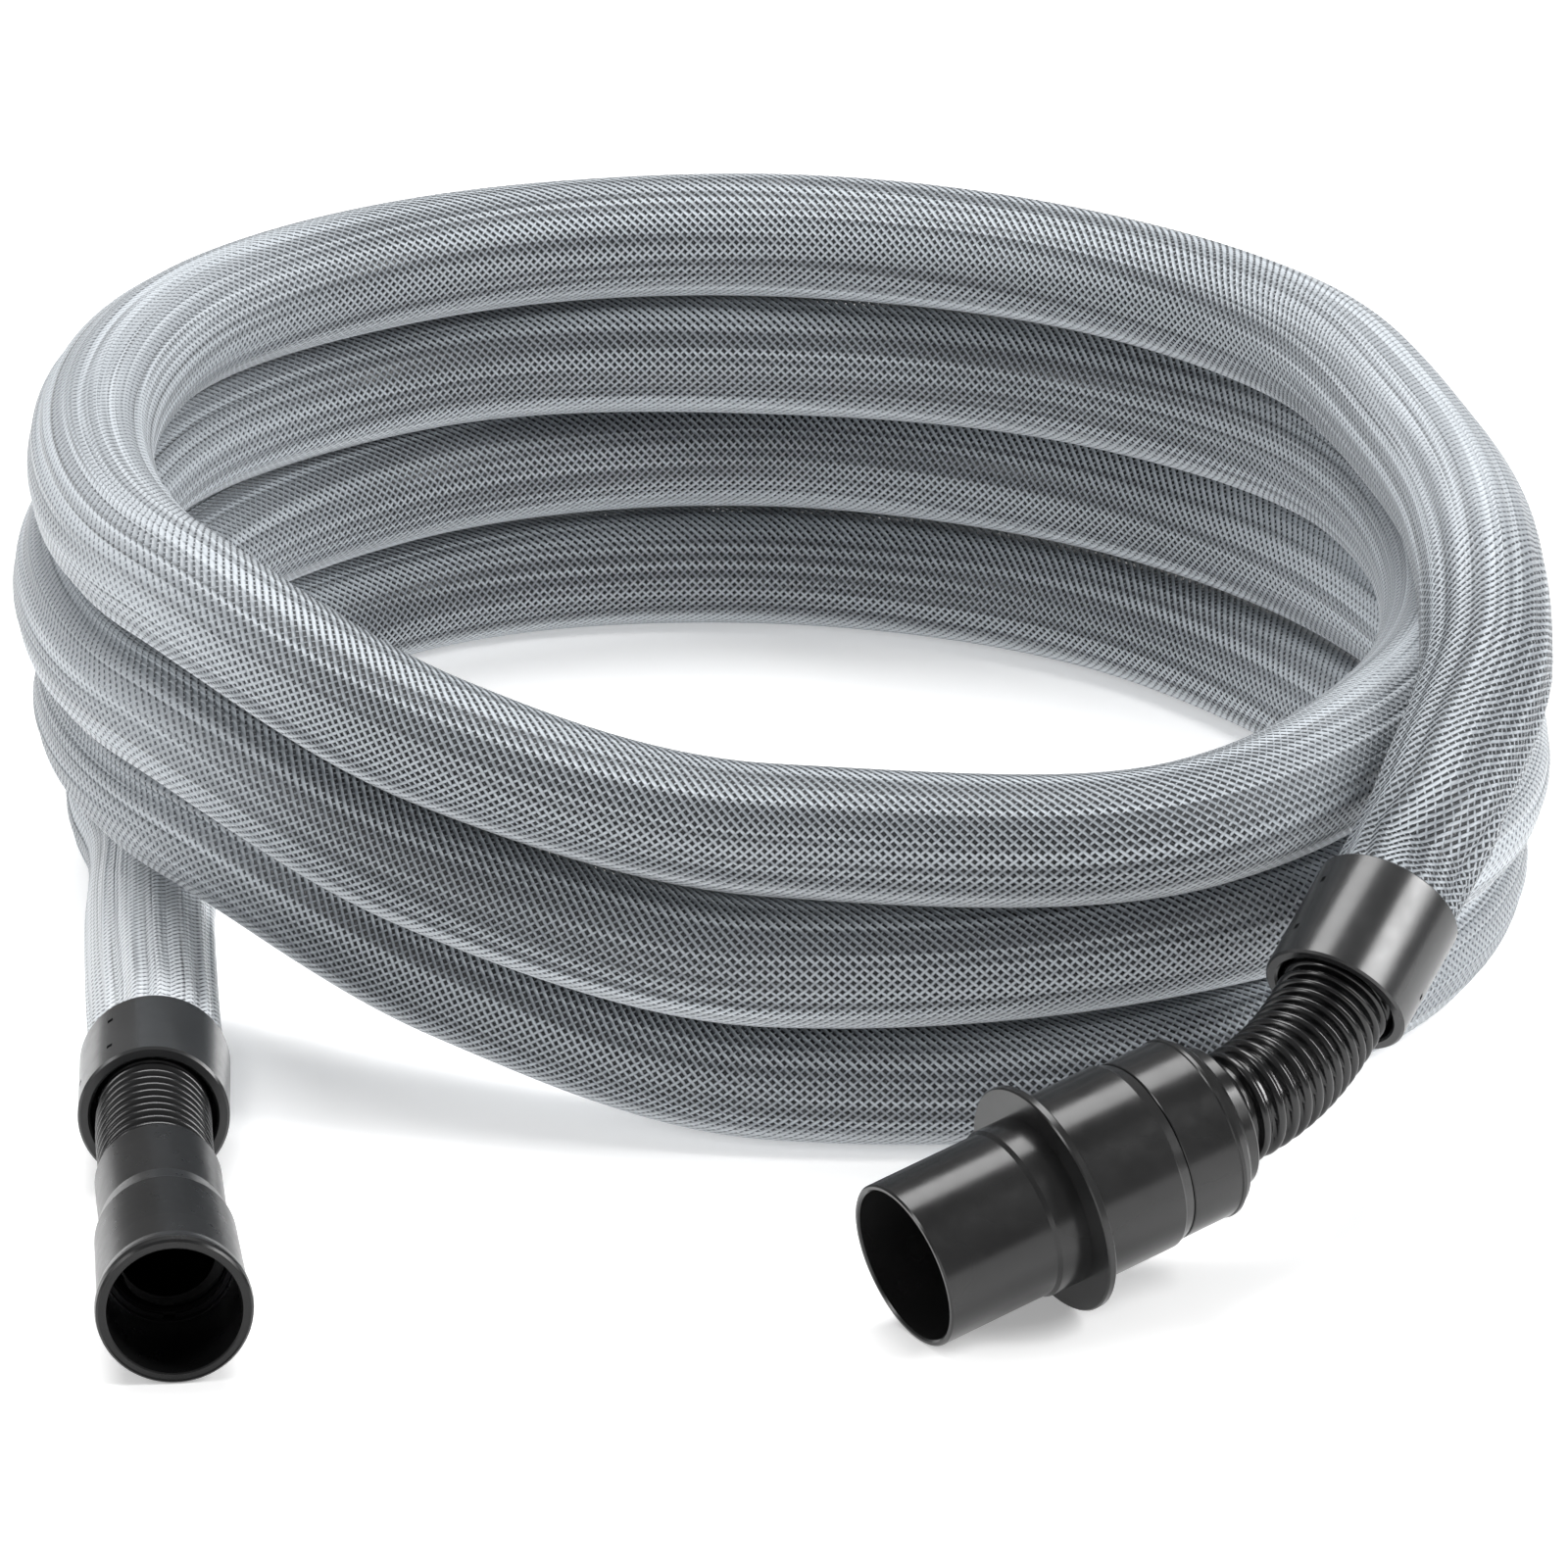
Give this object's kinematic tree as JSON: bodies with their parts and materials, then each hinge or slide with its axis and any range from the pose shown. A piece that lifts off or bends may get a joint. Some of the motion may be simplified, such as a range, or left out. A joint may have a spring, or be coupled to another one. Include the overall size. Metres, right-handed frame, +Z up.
{
  "type": "coiled vacuum hose",
  "caption": "Coiled corrugated suction hose in a braided sleeve, with a flanged swivel connector on one end and a tool cuff on the other.",
  "frame": {"origin": "middle of the footprint, on the surface that the coil lies on", "axes": "+Z up through the coil, -Y towards the ends that carry the connector and the cuff, +X towards the vacuum end"},
  "size_m": [0.5418, 0.69, 0.1855],
  "materials": {
    "braid": "open braid of clear and dark monofilament, silvery",
    "hose_plastic": "ribbed satin black",
    "collar_plastic": "satin dark grey moulding",
    "connector_plastic": "glossy black moulding",
    "cuff_rubber": "satin black soft plastic",
    "bush_plastic": "moulded dark grey",
    "washer_plastic": "natural acetal",
    "seal_rubber": "soft black",
    "ring_metal": "plain steel strip"
  },
  "bodies": {
    "root": {"suction_hose": "hose_plastic", "braided_sleeve": "braid", "vac_collar": "collar_plastic", "vac_clamp_ring": "ring_metal", "vac_lock_half_upper": "bush_plastic", "vac_lock_half_lower": "bush_plastic", "tool_collar": "collar_plastic", "tool_clamp_ring": "ring_metal", "tool_lock_half_upper": "bush_plastic", "tool_lock_half_lower": "bush_plastic"},
    "vac_neck": {"vac_hose_bush": "bush_plastic"},
    "vac_head": {"vac_spigot_body": "connector_plastic", "vac_rear_cap": "connector_plastic", "vac_seal_ring": "seal_rubber", "vac_glide_washer": "washer_plastic"},
    "tool_neck": {"tool_hose_bush": "bush_plastic"},
    "tool_head": {"tool_cuff": "cuff_rubber", "tool_seal_ring": "seal_rubber", "tool_snap_ring": "ring_metal", "tool_glide_washer": "washer_plastic"}
  },
  "joints": [
    {"name": "vac_bend", "type": "hinge", "parent": "root", "child": "vac_neck", "pos_m": [0.17126, -0.2224, 0.0596], "axis": [0, 0, 1], "range_deg": [-25, 25], "stiffness_Nm_per_rad": 1.5, "deforming": ["suction_hose"]},
    {"name": "vac_swivel", "type": "hinge", "parent": "vac_neck", "child": "vac_head", "pos_m": [0.0881, -0.284, 0.03939], "axis": [-0.8354, -0.5119, -0.2002], "continuous": true},
    {"name": "tool_bend", "type": "hinge", "parent": "root", "child": "tool_neck", "pos_m": [-0.20832, -0.21453, 0.0261], "axis": [0, 0, 1], "range_deg": [-25, 25], "stiffness_Nm_per_rad": 1.5, "deforming": ["suction_hose"]},
    {"name": "tool_swivel", "type": "hinge", "parent": "tool_neck", "child": "tool_head", "pos_m": [-0.2059, -0.241, 0.0262], "axis": [0.0976, -0.9952, 0], "continuous": true}
  ]
}
